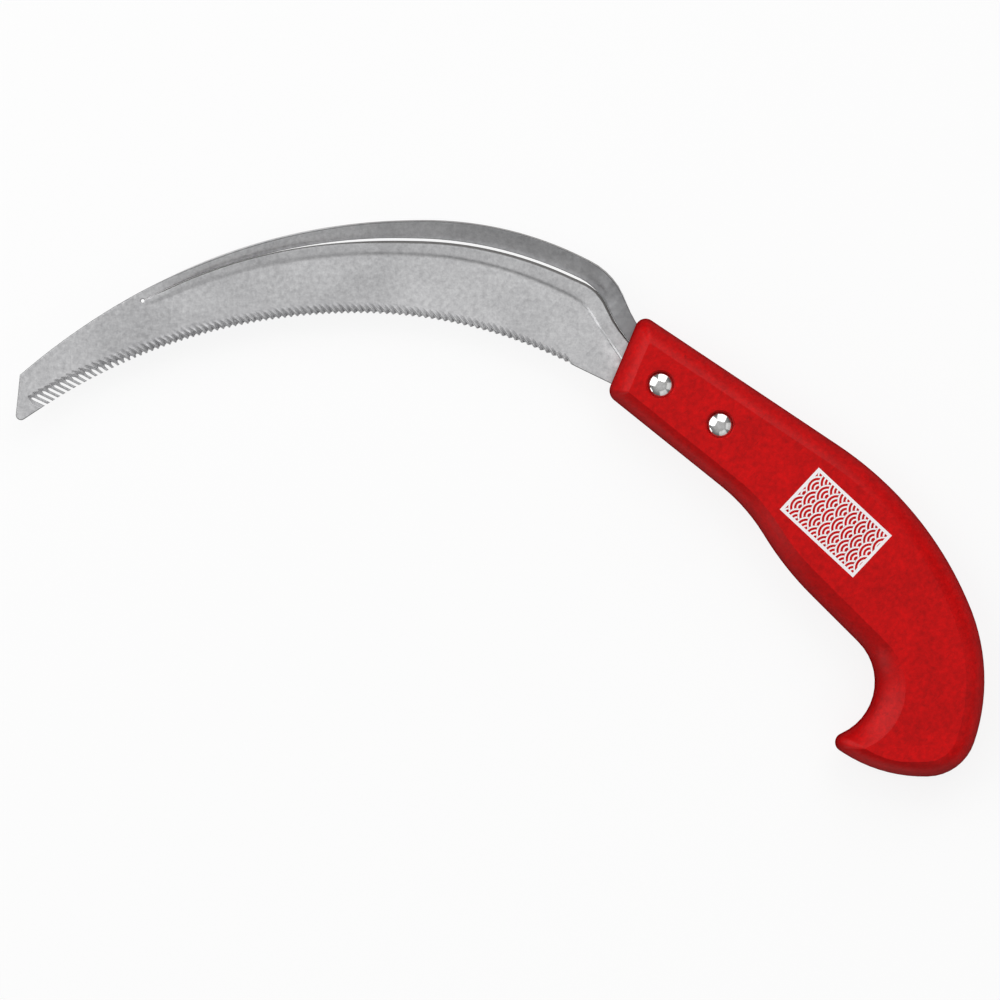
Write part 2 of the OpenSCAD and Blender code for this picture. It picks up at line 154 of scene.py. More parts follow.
class Finish:
    """One material, with a short way to add its nodes."""

    def __init__(self, name):
        self.material = bpy.data.materials.new(name)
        self.material.use_nodes = True
        self.tree = self.material.node_tree
        self.shader = self.tree.nodes["Principled BSDF"]
        self.place = self.node("ShaderNodeTexCoord", out="Object")

    def node(self, kind, settings=None, sockets=None, out=0):
        """Adds a node, and hands over one of its outputs."""
        made = self.tree.nodes.new(kind)
        for name, value in (settings or {}).items():
            setattr(made, name, value)
        for key, value in (sockets or {}).items():
            self.feed(made.inputs[key], value)
        return Wire(self, made.outputs[out])

    def feed(self, socket, value):
        if isinstance(value, Wire):
            self.tree.links.new(value.socket, socket)
        else:
            socket.default_value = value

    def spread(self, stretch=(1, 1, 1), turn=0.0, shift=(0, 0, 0)):
        """Object coordinates in millimetres, shifted, turned about Z and stretched."""
        millimetres = self.node("ShaderNodeMapping", {"vector_type": "POINT"}, {
            "Vector": self.place, "Location": shift, "Rotation": (0, 0, turn),
            "Scale": (1000, 1000, 1000)})
        return self.node("ShaderNodeVectorMath", {"operation": "MULTIPLY"},
                         {0: millimetres, 1: stretch})

    def clouds(self, size, detail, roughness, stretch=(1, 1, 1), turn=0.0, shift=(0, 0, 0)):
        """Soft noise with lumps about size millimetres across, from 0 to 1."""
        return self.node("ShaderNodeTexNoise", {}, {
            "Vector": self.spread(stretch, turn, shift),
            "Scale": 1.0 / size, "Detail": detail, "Roughness": roughness})

    def measured(self, axis):
        """One object coordinate, in millimetres."""
        return self.node("ShaderNodeSeparateXYZ", {}, {0: self.spread()}, out=axis)

    def marked(self, name):
        """What the mesh marks on its faces under this name, from 0 to 1."""
        return self.node("ShaderNodeAttribute", {"attribute_name": name}, out="Fac")

    def facing(self):
        """The way that the surface faces."""
        return self.node("ShaderNodeNewGeometry", out="Normal")

    def alike(self, way, other):
        """How far two ways agree: 1 for the same way, 0 for square to it."""
        return self.node("ShaderNodeVectorMath", {"operation": "DOT_PRODUCT"},
                         {0: way, 1: other}, out="Value")

    def blend(self, factor, a, b):
        """A colour from a to b as the factor goes from 0 to 1."""
        return self.node("ShaderNodeMix", {"data_type": "RGBA"}, {0: factor, 6: a, 7: b}, out=2)

    def bump(self, height, depth, strength, under=None):
        """Turns a height from 0 to 1 into a dent of depth millimetres."""
        sockets = {"Height": height, "Strength": strength, "Distance": depth * MM}
        if under is not None:
            sockets["Normal"] = under
        return self.node("ShaderNodeBump", {}, sockets)

    def rounded_edges(self, radius):
        """The normal of a surface whose corners are rounded over by radius millimetres."""
        return self.node("ShaderNodeBevel", {"samples": 8}, {"Radius": radius * MM})

    def shade(self, **sockets):
        """Feeds the shader's sockets by name, and hands the material over."""
        for name, value in sockets.items():
            self.feed(self.shader.inputs[name.replace("_", " ")], value)
        print(self.material.name, "has", len(self.tree.nodes), "nodes")
        return self.material


# %% [markdown]
# ## Colours as a picture shows them
#
# A picture's values from 0 to 255 are bent for the screen, and Blender adds up
# straight amounts of light. This helper straightens a picture's value.

# %% Straighten a picture's colour


def tone(red, green, blue):
    """The colour that a picture shows as these values from 0 to 255."""
    def straight(v):
        v /= 255
        return v / 12.92 if v <= 0.04045 else ((v + 0.055) / 1.055) ** 2.4
    return (straight(red), straight(green), straight(blue), 1.0)


print("paint red is", [round(v, 3) for v in tone(187, 22, 24)])

# %% [markdown]
# ## The blade's steel
#
# Sickle blades are stamped from rolled sheet steel, hardened, then tumbled
# and given a light satin grind. The metal is mid grey, with fine mottling,
# cloudy patches and a few pale upright scuffs where blades rubbed against each
# other. Noise at three scales gives this better than one strong pattern would.
# The sheet is a little brighter towards the handle.

# %% Mottle and scuff the steel
BRIGHTER_FROM, BRIGHTER_TO = -135, -60


def satin_grey(f, cloudy, mottle, grain):
    """The colour of the flat sheet, from three sizes of noise."""
    rubbed = f.clouds(11, 3, 0.6, stretch=(1, 0.3, 1), shift=(40, 0, 0)).between(0.5, 0.72)
    scuff = f.clouds(1.6, 3, 0.6, stretch=(1, 0.12, 1)).between(0.52, 0.78) * rubbed
    towards_handle = f.measured("X").between(BRIGHTER_FROM, BRIGHTER_TO)
    brightness = 0.52 + (cloudy - 0.5) * 0.7 + (mottle - 0.5) * 1.8 + (grain - 0.5) * 0.5
    brightness = brightness + towards_handle * 0.2
    steel = f.blend(brightness, tone(176, 176, 178), tone(226, 226, 227))
    return f.blend(scuff * 0.8, steel, tone(246, 246, 246))


# %% [markdown]
# ## Marked faces and painted edge shade
#
# Three kinds of face differ from the flat sheet, and the mesh will mark each
# in an attribute of its own. The slit's sheared walls were never ground, so
# they are rough, and where they face each other across the slit their darker
# grey is painted shade. The teeth's grooves are rougher. The strip behind the
# slit is painted darker, as shade. A Bevel node rounds the edges over, and
# where its normal leaves the flat one, a thin dark line of painted shade
# follows the edge.

# %% Mix the blade steel
EDGE_ROUNDING = 0.55


def blade_steel():
    f = Finish("satin_blade_steel")
    cloudy = f.clouds(16, 4, 0.6, shift=(20, 0, 0))
    mottle = f.clouds(1.5, 5, 0.72)
    grain = f.clouds(0.5, 2, 0.6)
    sheared = f.marked("sheared")
    groove = f.marked("groove")
    # Painted shade: the walls that face each other across the slit, and the lip's slope, turn a
    # darker grey. Their extra roughness is the unground cut.
    steel = f.blend(sheared, satin_grey(f, cloudy, mottle, grain), tone(148, 146, 144))
    # Painted shade: the strip behind the slit turns a darker grey.
    steel = f.blend(f.marked("spine"), steel, tone(124, 124, 126))
    # Painted shade: a thin dark line where the rounded normal turns away from the flat one, weaker
    # in the grooves.
    rounded = f.rounded_edges(EDGE_ROUNDING)
    turned = 1 - f.alike(rounded, f.facing())
    line = turned.between(0.015, 0.06) * (1 - groove * 0.8) * 0.85
    steel = f.blend(line, steel, tone(92, 92, 92))
    rough = 0.40 + (mottle - 0.5) * 0.2 + (cloudy - 0.5) * 0.15 + sheared * 0.25 + groove * 0.35
    rolled = f.clouds(0.5, 2, 0.5, stretch=(1, 0.2, 1))
    relief = f.bump(grain * 0.6 + rolled * 0.4, 0.012, 0.5, under=rounded)
    return f.shade(Base_Color=steel, Metallic=1.0, Roughness=rough, Normal=relief)


STEEL = blade_steel()

# %% [markdown]
# ## The painted handle
#
# The handle is wood, sawn and sanded, then dipped in thick red paint. The
# wood's pores still show as a fine mottling. The colour stays even on the flat
# faces and is painted a darker red down the sides, as the shade that falls
# there. Height above or below the middle of the handle drives that change, and
# faces that turn towards the view's bottom, a little to the left, are painted
# darker again, as shade.

# %% Mix the red paint
handle_low, handle_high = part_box("handle")
HANDLE_MIDDLE = (handle_low[2] + handle_high[2]) / 2 / MM
HALF_THICK = (handle_high[2] - handle_low[2]) / 2 / MM
WOOD_TURN = math.radians(45)
SHADED_SIDE_WAY = (-0.5, -0.86, 0)


def red_paint():
    f = Finish("red_paint_on_wood")
    cloudy = f.clouds(8, 3, 0.5)
    mottle = f.clouds(1.7, 4, 0.75)
    pores = f.clouds(0.8, 3, 0.6, stretch=(1, 0.2, 1), turn=WOOD_TURN).between(0.56, 0.8)
    brightness = 0.5 + (cloudy - 0.5) * 0.8 + (mottle - 0.5) * 2.2
    red = f.blend(brightness, tone(170, 0, 2), tone(218, 3, 5))
    red = f.blend(pores * 0.45, red, tone(112, 3, 6))
    height = abs(f.measured("Z") - HANDLE_MIDDLE)
    # Painted shade: the red grows darker down the sides, and the coat thins there.
    painted_side_shade = height.between(HALF_THICK * 0.3, HALF_THICK * 0.86, 1.0, 0.0)
    red = f.blend(painted_side_shade * 0.75, red, tone(104, 2, 4))
    # Painted shade: faces turned towards the view's bottom, a little to the left, grow darker red.
    facing_shade = f.alike(f.facing(), SHADED_SIDE_WAY).between(0.15, 0.5)
    red = f.blend(facing_shade * 0.35, red, tone(112, 6, 6))
    relief = f.bump(f.clouds(2.2, 2, 0.5), 0.05, 0.6)
    relief = f.bump(mottle * 0.7 - pores * 0.5, 0.03, 0.7, under=relief)
    return f.shade(Base_Color=red, Roughness=0.5 + (mottle - 0.5) * 0.2, Specular_IOR_Level=0.0,
                   Coat_Weight=(1 - painted_side_shade) * 0.34, Coat_Roughness=0.37, Normal=relief)


PAINT = red_paint()

# %% [markdown]
# ## Bright rivets
#
# The rivets have polished, plated heads. A smooth metal shows the room, so
# the finish needs only faint scratches, small dents from the setting tool and
# a little grey dirt.

# %% Mix the plated metal
def plated_metal():
    f = Finish("bright_plating")
    mottle = f.clouds(1.0, 3, 0.6)
    scratches = f.clouds(0.25, 2, 0.5, stretch=(1, 0.1, 1), turn=0.6)
    metal = f.blend(mottle.between(0.35, 0.7), tone(216, 215, 213), tone(234, 234, 234))
    relief = f.bump(f.clouds(2.8, 1, 0.4), 0.05, 0.5)
    relief = f.bump(scratches, 0.004, 0.4, under=relief)
    return f.shade(Base_Color=metal, Metallic=1.0, Roughness=0.12 + (mottle - 0.5) * 0.06,
                   Normal=relief)


PLATING = plated_metal()

# %% [markdown]
# ## White print
#
# The handle carries a printed panel. Screen printed ink lies as a thin white
# film, a little uneven, with the red paint coming through at worn specks.

# %% Mix the white print
def white_ink():
    f = Finish("white_screen_print")
    film = f.clouds(1.4, 3, 0.6)
    worn = f.clouds(0.35, 2, 0.6).between(0.66, 0.76)
    white = f.blend(film, tone(246, 242, 243), tone(255, 253, 254))
    white = f.blend(worn * 0.7, white, tone(206, 120, 120))
    return f.shade(Base_Color=white, Roughness=0.42 + (film - 0.5) * 0.2,
                   Normal=f.bump(film, 0.01, 0.5))


INK = white_ink()

# %% [markdown]
# ## Smooth copies of the CAD solids
#
# The CAD solids arrive as loose flat triangles, so a curved face would show
# its facets. A copy can have its doubled points merged and its faces shaded
# smooth, with sharp edges only where the solid really has a corner. Weighted
# normals keep the large flat faces flat right up to the soft bends.

# %% Copy a node, and finish a piece
def merged_copy(node):
    made = bmesh.new()
    made.from_mesh(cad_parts[node].data)
    bmesh.ops.remove_doubles(made, verts=made.verts, dist=0.002 * MM)
    return made


def finished(made, name, node, sharp_above, material):
    """Shades a mesh smooth up to an angle in degrees, and shows it where its node was, hiding the
    node.
    """
    made.normal_update()
    for face in made.faces:
        face.smooth = True
    corner = math.radians(sharp_above)
    for edge in made.edges:
        edge.smooth = len(edge.link_faces) == 2 and edge.calc_face_angle(0) < corner
    mesh = bpy.data.meshes.new(name)
    made.to_mesh(mesh)
    made.free()
    mesh.materials.append(material)
    piece = bpy.data.objects.new(name, mesh)
    bpy.context.scene.collection.objects.link(piece)
    flat_first = piece.modifiers.new("flat_faces_first", "WEIGHTED_NORMAL")
    flat_first.weight, flat_first.keep_sharp = 100, True
    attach(piece, "root")
    if node:
        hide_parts(node)
    print(name, len(mesh.vertices), "points", len(mesh.polygons), "faces")


# %% [markdown]
# ## The toothed edge
#
# Each tooth is left between two slanted grooves, ground with the corner of a
# wheel. The edge is three straight runs joined by two round bends. All the
# grooves are placed by their distance along that line, so the line comes
# first, in millimetres, and starts a little before the blade's nose.

# %% Follow the toothed edge
# The line's corners from the heel to the nose: x, y and the radius of the bend.
EDGE_CORNERS = [(-24.1, 6.5, 0), (-68.8, 28.2, 145), (-154.3, 29.1, 178), (-200.6, -0.4, 0)]
OVERHANG = 3.0


def edge_points(corners, step=math.radians(0.5)):
    """Points from the nose to the heel along straight runs joined by round bends."""
    points = [Vector(corners[0][:2])]
    for last, here, following in zip(corners, corners[1:], corners[2:]):
        corner, radius = Vector(here[:2]), here[2]
        came = (corner - Vector(last[:2])).normalized()
        goes = (Vector(following[:2]) - corner).normalized()
        bend = -came.angle_signed(goes)
        start = corner - came * radius * math.tan(abs(bend) / 2)
        side = Vector((-came.y, came.x)) * math.copysign(1, bend)
        centre = start + side * radius
        count = math.ceil(abs(bend) / step)
        for k in range(count + 1):
            points.append(centre + Matrix.Rotation(bend * k / count, 2) @ (start - centre))
    points.append(Vector(corners[-1][:2]))
    return np.array([tuple(p) for p in reversed(points)])


edge_line = edge_points(EDGE_CORNERS)
first_run = edge_line[1] - edge_line[0]
before_nose = edge_line[0] - first_run / np.linalg.norm(first_run) * OVERHANG
edge_line = np.vstack([before_nose, edge_line])
runs = np.linalg.norm(np.diff(edge_line, axis=0), axis=1)
edge_spots = np.concatenate([[0], np.cumsum(runs)]) - OVERHANG
print("edge", round(float(edge_spots[-1]), 1), "mm long")

# %% [markdown]
# ## Where the grooves are
#
# The grooves stand 1.9 mm apart at the nose, and the gap grows to 2.13 mm at
# the last one. Some 14 mm of edge beside the handle has none.

# %% Space the grooves
NOSE_PITCH, HEEL_PITCH = 1.9, 2.13
PLAIN_HEEL = 14.0
toothed = edge_spots[-1] - PLAIN_HEEL
groove_count = int(toothed * 3 / (2 * NOSE_PITCH + HEEL_PITCH))
passed = (np.arange(groove_count) + 0.5) / groove_count
mean_pitch = NOSE_PITCH + (HEEL_PITCH - NOSE_PITCH) * passed ** 2 / 3
groove_spots = groove_count * passed * mean_pitch
HALF_PITCH = float(np.mean(np.diff(groove_spots))) / 2
print(groove_count, "grooves, the last at", round(float(groove_spots[-1]), 1), "mm")

# %% [markdown]
# ## Drawn grooves and ground grooves
#
# Near the nose the grooves cut right through. Further on they only nick the
# edge, and run out upwards in long, shallow, even stripes. The CAD grooves are
# plain wedges, cut by a straight tool, so both kinds are written down: slant
# in degrees, length and notch in millimetres, and how far the nicks have taken
# over from the cuts. A seeded unevenness keeps the stripes from looking stamped.

# %% Say how the grooves were drawn, and how they are ground
along = np.arange(groove_count) / (groove_count - 1)


def mix(a, b, share):
    return a + (b - a) * share


def soft_step(x):
    x = np.clip(x, 0, 1)
    return x * x * (3 - 2 * x)


near_nose = 1 - soft_step(along / 0.24)
near_heel = soft_step((along - 0.9) / 0.1)
drawn = {
    "slant": mix(31, 66, 1 - (1 - along) ** 2),
    "long": mix(5.4, 2.4, along),
    "notch": mix(3.9, 1.0, 1 - (1 - along) ** 3)}
ground = {
    "slant": mix(25, 58, along ** 1.1),
    "long": 5.0 + 1.2 * near_nose - 0.9 * near_heel,
    "notch": 0.95 + 4.1 * near_nose,
    "nicked": soft_step((along - 0.06) / 0.2)}
uneven = np.random.default_rng(7).uniform(-0.3, 0.3, groove_count)
ground["long"] = ground["long"] + uneven
print("stripes", round(float(ground["long"].min()), 2), "to",
      round(float(ground["long"].max()), 2), "mm long")

# %% [markdown]
# ## Each point's groove
#
# A point of the drawn blade is found again by two numbers: the spot on the
# edge where its slanted line ends, and its distance from there. Lines from
# many samples of the edge are tried, and the point lies where the side that it
# falls on changes from one line to the next.

# %% Find each point's place in the grooves
SAMPLES = np.linspace(-OVERHANG, float(groove_spots[-1]) + OVERHANG, 1600)
# A groove's points lie from just outside the edge to its own length, in millimetres.
OUTERMOST, INNERMOST = -0.8, 6.2
PAST_GROOVE = 0.35
FIRST_SPOT = -1.6


def at(values, spot):
    return np.interp(spot, groove_spots, values)


def edge_place(spot):
    xs = np.interp(spot, edge_spots, edge_line[:, 0])
    ys = np.interp(spot, edge_spots, edge_line[:, 1])
    return np.stack([xs, ys], axis=-1)


def groove_way(slant):
    angle = np.radians(slant)
    return np.stack([np.cos(angle), -np.sin(angle)], axis=-1)


SAMPLE_PLACES = edge_place(SAMPLES)
SAMPLE_WAYS = groove_way(at(drawn["slant"], SAMPLES))


def groove_place(vertex):
    """Where along the edge a point's slanted line ends, and its distance from there."""
    away = np.array(vertex.co[:2]) / MM - SAMPLE_PLACES
    off = away[:, 0] * SAMPLE_WAYS[:, 1] - away[:, 1] * SAMPLE_WAYS[:, 0]
    deep = -(away * SAMPLE_WAYS).sum(axis=1)
    near = (deep[:-1] > OUTERMOST) & (deep[:-1] < INNERMOST)
    crossings = np.nonzero((off[:-1] * off[1:] <= 0) & near)[0]
    if len(crossings) == 0:
        return None
    k = crossings[0]
    part = off[k] / (off[k] - off[k + 1]) if off[k] != off[k + 1] else 0.0
    spot = mix(SAMPLES[k], SAMPLES[k + 1], part)
    depth = mix(deep[k], deep[k + 1], part)
    if depth > at(drawn["long"], spot) + PAST_GROOVE or spot < FIRST_SPOT:
        return None
    return float(spot), float(depth)


# %% [markdown]
# ## From drawn to ground
#
# Which way a point moves depends on the part of the groove that it belongs to.
# Across a groove, t is 0 on its floor line and 1 or -1 on the ridges beside
# it. Up the sheet, which lies 9.5 to 10.5 mm above the table, rise is 0 on the
# lower face and 1 on the upper one.

# %% Say where each point is ground to
SHEET_LOW, SHEET_HIGH = 9.5, 10.5
FLOOR_LINE = 0.1
# A stripe's half widths from its run-out to its mouth, as shares of half a pitch.
RIM_WIDTHS = (0.34, 0.5, 0.54, 0.6)
MOUTH_DRAWN, MOUTH_NICKED = 0.47, 0.78


def grind_point(vertex, spot, depth):
    """A drawn point's new place, by the part of the groove that it belongs to."""
    k = int(np.abs(groove_spots - spot).argmin())
    half = float(at(np.gradient(groove_spots), spot)) / 2
    t = (spot - groove_spots[k]) / half
    side = 1.0 if t > 0 else -1.0
    rise = (vertex.co.z / MM - SHEET_LOW) / (SHEET_HIGH - SHEET_LOW)
    old_notch, new_notch = at(drawn["notch"], spot), at(ground["notch"], spot)
    nicked = float(at(ground["nicked"], spot))
    scaled = depth * new_notch / old_notch
    if abs(t) < FLOOR_LINE and rise > 0.9:
        # The floor line's upper end, where the stripe runs out.
        t = side * mix(abs(t), RIM_WIDTHS[0], nicked)
        new_depth = at(ground["long"], groove_spots[k])
    elif abs(t) < FLOOR_LINE:
        # The rest of the floor line.
        new_depth = scaled
    elif rise > 0.95 and depth < 0.3:
        # A tooth's tip on the upper face stays.
        return spot, depth, rise
    elif rise > 0.95:
        # Other points of the upper face close up to the ridge.
        t = mix(t, side, nicked)
        new_depth = mix(scaled, 0.45 * new_notch, nicked)
    elif depth < 0.1:
        # The groove's mouth in the sheared edge opens, and its floor rises.
        new_depth = depth
        mouth = mix(MOUTH_DRAWN, MOUTH_NICKED, nicked)
        if 0.4 < abs(t) < 1.0:
            t = side * (mouth + (abs(t) - MOUTH_DRAWN) * (1 - mouth) / (1 - MOUTH_DRAWN))
        rise = min(0.8, rise * (1 + 0.95 * nicked))
    elif rise < 0.05:
        # The outline of the notch in the lower face.
        new_depth = mix(scaled, 0.5 * new_notch, nicked)
        t = side * mix(abs(t), 0.52, nicked)
    else:
        # What is left lies between the faces, and moves up under the ridge.
        t = mix(t, side, 0.5 * nicked)
        new_depth = mix(scaled, 0.25 * new_notch, nicked)
        rise = mix(rise, 0.86, nicked)
    return groove_spots[k] + t * half, float(new_depth), rise


def set_point(vertex, spot, depth, rise):
    """Puts a point back; nicks stand square to the edge, stripes run along the slant."""
    way = groove_way(at(ground["slant"], spot))
    run = edge_place(spot + 0.3) - edge_place(spot - 0.3)
    run = run / np.linalg.norm(run)
    out = np.array([run[1], -run[0]])
    if out @ way < 0:
        out = -out
    notch, nicked = at(ground["notch"], spot), at(ground["nicked"], spot)
    slip = depth - nicked * min(depth, notch)
    here = edge_place(spot) - out * (way @ out) * depth - run * (way @ run) * slip
    vertex.co = (here[0] * MM, here[1] * MM, mix(SHEET_LOW, SHEET_HIGH, rise) * MM)


# %% [markdown]
# ## More points on each groove
#
# A wedge has straight rims and a straight floor. A ground stripe has curved
# ones, so each of these edges is split in four, and its three new points get
# places on the curve.

# %% Split the rims and the floors
# Where the rim's new points lie: 0 is the nick's end, 1 the stripe's run-out.
RIM_SPOTS = (0.92, 0.6, 0.24)
FLOOR_BEND = 1.25
UPPER_FACE = SHEET_HIGH * MM - 0.05 * MM


def groove_edges(made, old):
    """The edges to split: rims from the floor line's end, and the floor lines."""
    def is_floor(vertex):
        spot, depth = old[vertex]
        return np.abs(groove_spots - spot).min() / HALF_PITCH < FLOOR_LINE and depth > 0.6

    found = []
    for edge in made.edges:
        if not all(v in old for v in edge.verts):
            continue
        a, b = sorted(edge.verts, key=is_floor, reverse=True)
        if not is_floor(a) or abs(old[a][0] - old[b][0]) > 2.4 * HALF_PITCH:
            continue
        a_up, b_up = a.co.z > UPPER_FACE, b.co.z > UPPER_FACE
        if a_up and b_up and not is_floor(b):
            found.append((edge, a, b, "rim"))
        if is_floor(b) and a_up != b_up:
            top, foot = (a, b) if a_up else (b, a)
            found.append((edge, top, foot, "floor"))
    return found


def split_edge(edge, a, b, kind, old, new):
    """Gives the edge from a to b three points, and writes down their places."""
    k = int(np.abs(groove_spots - old[a][0]).argmin())
    middle = groove_spots[k]
    side = 1.0 if old[b][0] > middle else -1.0
    long, notch = at(ground["long"], middle), at(ground["notch"], middle)
    nicked = float(at(ground["nicked"], middle))
    start = a
    for step in (1, 2, 3):
        fresh = bmesh.utils.edge_split(edge, start, 1 / (5 - step))[1]
        edge = next(e for e in fresh.link_edges if b in e.verts)
        start = fresh
        straight = [mix(x, y, step / 4) for x, y in zip(new[a], new[b])]
        if kind == "floor":
            rise = 1 - step / 4
            curved = (old[a][0], mix(notch, long, rise), 1 - (1 - rise) ** FLOOR_BEND)
        else:
            curved = (middle + side * RIM_WIDTHS[step] * HALF_PITCH,
                      mix(notch, long, RIM_SPOTS[step - 1]), 1.0)
        new[fresh] = tuple(mix(x, y, nicked) for x, y in zip(straight, curved))


# %% [markdown]
# ## The grinding itself
#
# First the flat faces are joined up, so that a groove has only the points that
# it needs. Then every point is looked up, the edges are split, and all points
# move. Triangles come last, because the moved faces are no longer flat. The
# faces that belong to grooves are marked for the steel's finish.

# %% Grind the grooves to their real slant, length and width
def regrind(made):
    bmesh.ops.dissolve_limit(made, angle_limit=math.radians(0.05),
                             verts=made.verts, edges=made.edges)
    old = {}
    for vertex in made.verts:
        found = groove_place(vertex)
        if found:
            old[vertex] = found
    new = {vertex: grind_point(vertex, *found) for vertex, found in old.items()}
    splits = groove_edges(made, old)
    for edge, a, b, kind in splits:
        split_edge(edge, a, b, kind, old, new)
    for vertex, (spot, depth, rise) in new.items():
        set_point(vertex, spot, depth, rise)
    bmesh.ops.triangulate(made, faces=made.faces)
    made.normal_update()
    layer = made.faces.layers.float.new("groove")
    for face in made.faces:
        if 0.02 < abs(face.normal.z) < 0.9995 and all(v in new for v in face.verts):
            face[layer] = 1.0
    print("groove edges split:", len(splits), "points moved along the sheet:", len(new))


blade_mesh = merged_copy("blade")
regrind(blade_mesh)

# %% [markdown]
# ## The crease beside the handle
#
# The lip's crease runs on as far as the handle, where the lip itself has sunk
# back to the sheet. There the press tool's edge bit into the metal: a steep
# narrow ramp on the handle's side and a wide, gentle one on the other. The
# copy's crease is moved to its line, and new cuts give points to sink. Its
# ends are x and y in millimetres; places beside it are millimetres too, and
# places along it are shares of its length.

# %% Measure along the crease and beside it
CREASE_START, CREASE_END = Vector((-31.6, 30.1)), Vector((-22.3, 16.4))
CREASE_FOOT, CREASE_TOP, CREASE_FAR = -0.45, 0.3, -3.6
CREASE_CUTS = (-0.1, 0.05, 0.2, 0.4, 0.55, 0.7, 0.85, 1.0, 1.15, 1.3)
CREASE_BITE, CREASE_DEPTH = 0.1, 0.4
crease_run = CREASE_END - CREASE_START
crease_way = crease_run.normalized()
crease_side = Vector((-crease_way.y, crease_way.x))
print("crease", round(crease_run.length, 1), "mm long")


def crease_place(vertex):
    """A point's share of the crease's length, and its distance from the line."""
    away = vertex.co.xy / MM - CREASE_START
    return away.dot(crease_way) / crease_run.length, away.dot(crease_side)


# %% [markdown]
# ## Shift, cut and sink
#
# The three steps of the pressing are one helper each. Only faces that look
# upwards are cut, so the sheet's lower face stays whole, and only points on
# them sink.

# %% Press the crease on towards the handle
def shift_crease(made):
    """Moves the points of the drawn crease sideways, more so towards the handle."""
    for vertex in made.verts:
        t, off = crease_place(vertex)
        if -0.35 < t < 0.95 and -3.0 < off < 0.5:
            shift = float(soft_step((t + 0.35) / 0.45)) * min(0.5 + 1.7 * max(t, 0), 1.8) * MM
            vertex.co.x += crease_side.x * shift
            vertex.co.y += crease_side.y * shift


def cut_crease(made, not_left_of=-50 * MM):
    """Cuts the upper face along three lines of the crease, and across them."""
    lines = (CREASE_FOOT, CREASE_TOP, CREASE_FAR)
    cuts = [(CREASE_START + crease_side * off, crease_side) for off in lines]
    cuts += [(CREASE_START + crease_run * t, crease_way) for t in CREASE_CUTS]
    for spot, square in cuts:
        made.normal_update()
        faces = [f for f in made.faces
                 if f.normal.z > 0.5 and max(v.co.x for v in f.verts) > not_left_of]
        edges = {e for f in faces for e in f.edges}
        points = {v for f in faces for v in f.verts}
        bmesh.ops.bisect_plane(made, geom=[*faces, *edges, *points], dist=0.001 * MM,
                               plane_co=(*(spot * MM), 0), plane_no=(*square, 0))


def sink_crease(made):
    """Sinks the foot line, with a gentle ramp on the far side and a steep one here."""
    made.normal_update()
    for vertex in made.verts:
        t, off = crease_place(vertex)
        if vertex.normal.z < 0.5 or not -0.05 < t < 1.25 or not CREASE_FAR < off < CREASE_TOP:
            continue
        gentle = (off - CREASE_FAR) / (CREASE_FOOT - CREASE_FAR)
        steep = (CREASE_TOP - off) / (CREASE_TOP - CREASE_FOOT)
        deep = CREASE_BITE * soft_step((t + 0.1) / 0.2) + CREASE_DEPTH * soft_step((t - 0.4) / 0.5)
        vertex.co.z -= float(deep) * MM * min(gentle, steep)


shift_crease(blade_mesh)
cut_crease(blade_mesh)
sink_crease(blade_mesh)
bmesh.ops.triangulate(blade_mesh, faces=blade_mesh.faces)
blade_mesh.normal_update()
print("blade with its crease:", len(blade_mesh.faces), "faces")

# %% [markdown]
# ## Sheared walls and their painted shade
#
# Where the blank was sheared, the two walls of the slit face each other across
# a hair's breadth. Rays from each steep face, level and downwards, find the
# metal opposite. Faces that see some close by are marked, so that the steel's
# finish can paint them darker, as the shade between the walls. The lip's slope
# is marked too, but less, for a lighter painted shade, and the teeth are left
# out, because they also face each other.

# %% Mark the walls that face each other
# How far up a face looks, from 0 to 1: it is a wall below LEVEL, and a slope from SLOPING on.
LEVEL, SLOPING = 0.6, 0.35
SLOPE_SHADE = 0.7


def mark_sheared(made, nearer_than=3.0 * MM, clear_of_teeth=8.0):
    tree = BVHTree.FromBMesh(made)
    layer = made.faces.layers.float.new("sheared")
    found = 0
    for face in made.faces:
        if abs(face.normal.z) > LEVEL:
            continue
        middle = face.calc_center_median() + face.normal * 0.001 * MM
        gaps = np.linalg.norm(edge_line - np.array(middle[:2]) / MM, axis=1)
        if gaps.min() < clear_of_teeth:
            continue
        if face.normal.z > SLOPING:
            # A lighter painted shade on the lip's slope, which fades out towards the nose.
            face[layer] = SLOPE_SHADE * float(soft_step((middle.x / MM + 120) / 25))
            continue
        out = Vector((face.normal.x, face.normal.y, 0)).normalized()
        ways = [out, out + Vector((0, 0, -0.35)), out + Vector((0, 0, -0.9))]
        # A steep face with metal close in front of it gets the full painted shade.
        if any(tree.ray_cast(middle, way, nearer_than)[0] is not None for way in ways):
            face[layer] = 1.0
            found += 1
    print("sheared faces:", found)


mark_sheared(blade_mesh)

# %% [markdown]
# ## The strip behind the slit
#
# Between the slit and the blade's back lies a narrow strip, which is painted
# darker than the sheet as shade, most of all beside the handle. A face belongs
# to it if the nearest sheared wall is close, and the face lies outwards of it.

# %% Mark the strip behind the slit for painted shade
def mark_spine(made, outwards=Vector((0.77, 0.64)), nearer_than=9.0 * MM, starts_at=-112 * MM):
    sheared = made.faces.layers.float["sheared"]
    layer = made.faces.layers.float.new("spine")
    walls = [f.calc_center_median().xy for f in made.faces if f[sheared] == 1.0]
    found = 0
    for face in made.faces:
        middle = face.calc_center_median().xy
        if face.normal.z < 0.6 or middle.x < starts_at:
            continue
        wall = min(walls, key=lambda w: (w - middle).length)
        if (middle - wall).length < nearer_than and (middle - wall) @ outwards > 0:
            x = middle.x / MM
            # Painted shade: light towards the nose, deeper beside the handle.
            face[layer] = float(0.26 * soft_step((x + 114) / 22) + 0.5 * soft_step((x + 40) / 22))
            found += 1
    print("faces behind the slit:", found)


mark_spine(blade_mesh)

